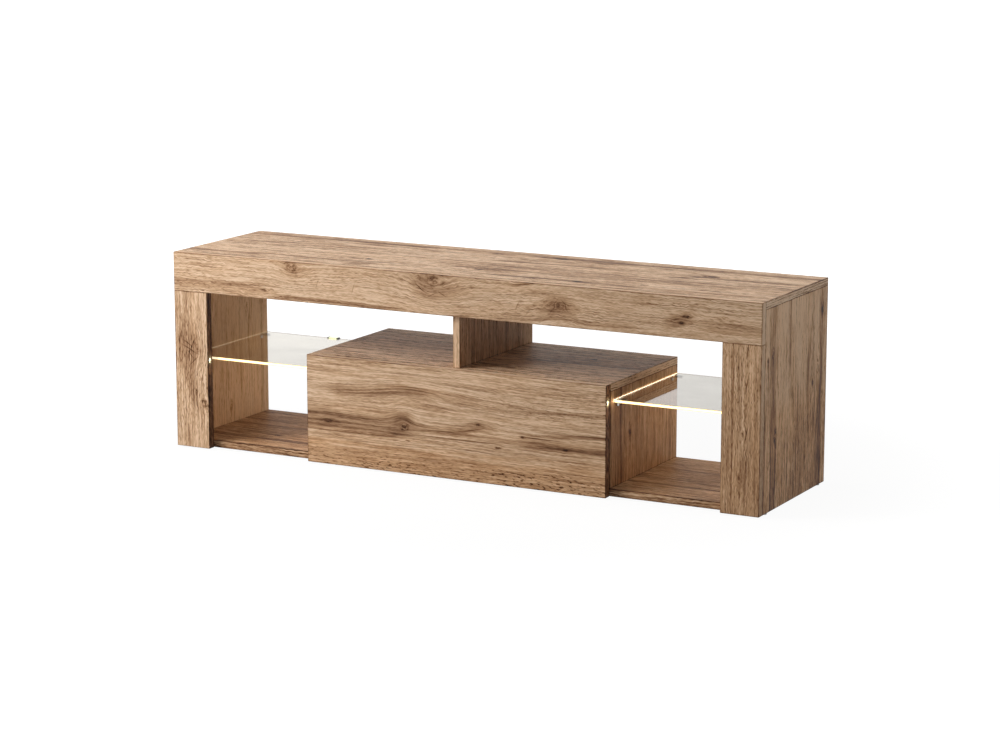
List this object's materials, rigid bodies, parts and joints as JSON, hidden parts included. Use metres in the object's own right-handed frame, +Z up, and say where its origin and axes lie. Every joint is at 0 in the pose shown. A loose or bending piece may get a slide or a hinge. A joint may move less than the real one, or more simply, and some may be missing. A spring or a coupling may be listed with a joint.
{
  "type": "tv stand with doors",
  "caption": "Low wide TV stand of oak-look boards, with a middle box behind a drop-down flap, a divider above it, and side bays that each hold a glass shelf with a light clip.",
  "frame": {"origin": "middle of the overall box, on the floor", "axes": "+X along the length, to the right seen from the front; +Y from the front to the back; +Z up"},
  "size_m": [1.4, 0.352, 0.439],
  "materials": {
    "oak_decor": "matt wood-grain melamine, warm grey-brown oak",
    "hardboard": "printed hardboard, matt",
    "beech": "plain, fluted",
    "shelf_glass": "clear, ground edges",
    "chrome": "bright",
    "zinc_steel": "zinc plated",
    "clear_pads": "clear soft plastic",
    "clip_body": "silver plastic",
    "light_lens": "lit warm white lens",
    "grey_plastic": "moulded, matt"
  },
  "bodies": {
    "carcass": {"top_panel": "oak_decor", "bottom_panel": "oak_decor", "side_panel_left": "oak_decor", "side_panel_right": "oak_decor", "front_apron": "oak_decor", "front_post_left": "oak_decor", "front_post_right": "oak_decor", "box_partition_left": "oak_decor", "box_partition_right": "oak_decor", "box_top_panel": "oak_decor", "centre_divider": "oak_decor", "box_back_panel": "hardboard", "dowels": "beech", "glass_shelf_left": "shelf_glass", "glass_shelf_right": "shelf_glass", "shelf_supports": "chrome", "cam_locks": "zinc_steel", "cam_bolts": "zinc_steel", "panel_screws": "zinc_steel", "hinge_base_leaves": "zinc_steel", "hinge_base_screws": "zinc_steel", "stay_wall_screws": "zinc_steel", "latch_screws": "zinc_steel", "stay_wall_plates": "zinc_steel", "latch_spring": "zinc_steel", "shelf_support_pads": "clear_pads", "flap_bumpers": "clear_pads", "led_clips": "clip_body", "led_lenses": "light_lens", "floor_glides": "grey_plastic", "latch_housing": "grey_plastic"},
    "flap": {"drop_flap": "oak_decor", "hinge_flap_leaves": "zinc_steel", "hinge_pins": "zinc_steel", "hinge_flap_screws": "zinc_steel", "stay_flap_brackets": "zinc_steel", "stay_bracket_screws": "zinc_steel", "stay_pivot_pins": "chrome", "latch_strike_plate": "zinc_steel", "latch_strike_screw": "zinc_steel"},
    "stay_rod_left": {"stay_rod_left": "chrome"},
    "stay_rod_right": {"stay_rod_right": "chrome"},
    "stay_block_left": {"stay_block_left": "grey_plastic", "stay_brake_screw_left": "zinc_steel"},
    "stay_block_right": {"stay_block_right": "grey_plastic", "stay_brake_screw_right": "zinc_steel"},
    "latch_plunger": {"latch_plunger": "grey_plastic", "latch_magnet": "zinc_steel"}
  },
  "joints": [
    {"name": "flap_hinge", "type": "hinge", "parent": "carcass", "child": "flap", "pos_m": [0, -0.169, 0.01], "axis": [1, 0, 0], "range_deg": [0, 90]},
    {"name": "stay_rod_left_pivot", "type": "hinge", "parent": "flap", "child": "stay_rod_left", "pos_m": [-0.3347, -0.148, 0.15852], "axis": [1, 0, 0], "range_deg": [-45, 0]},
    {"name": "stay_block_left_pivot", "type": "hinge", "parent": "carcass", "child": "stay_block_left", "pos_m": [-0.3347, -0.109, 0.14748], "axis": [1, 0, 0], "range_deg": [0, 45]},
    {"name": "stay_rod_right_pivot", "type": "hinge", "parent": "flap", "child": "stay_rod_right", "pos_m": [0.3347, -0.148, 0.15852], "axis": [1, 0, 0], "range_deg": [-45, 0]},
    {"name": "stay_block_right_pivot", "type": "hinge", "parent": "carcass", "child": "stay_block_right", "pos_m": [0.3347, -0.109, 0.14748], "axis": [1, 0, 0], "range_deg": [0, 45]},
    {"name": "latch_press", "type": "slide", "parent": "carcass", "child": "latch_plunger", "axis": [0, 1, 0], "range_m": [0, 0.002], "stiffness_N_per_m": 200, "springref_m": -0.01, "deforming": ["latch_spring"]}
  ],
  "couplings": [
    {"joint": "stay_rod_left_pivot", "follows": "flap_hinge", "ratio": -0.5},
    {"joint": "stay_block_left_pivot", "follows": "flap_hinge", "ratio": 0.5},
    {"joint": "stay_rod_right_pivot", "follows": "flap_hinge", "ratio": -0.5},
    {"joint": "stay_block_right_pivot", "follows": "flap_hinge", "ratio": 0.5}
  ]
}
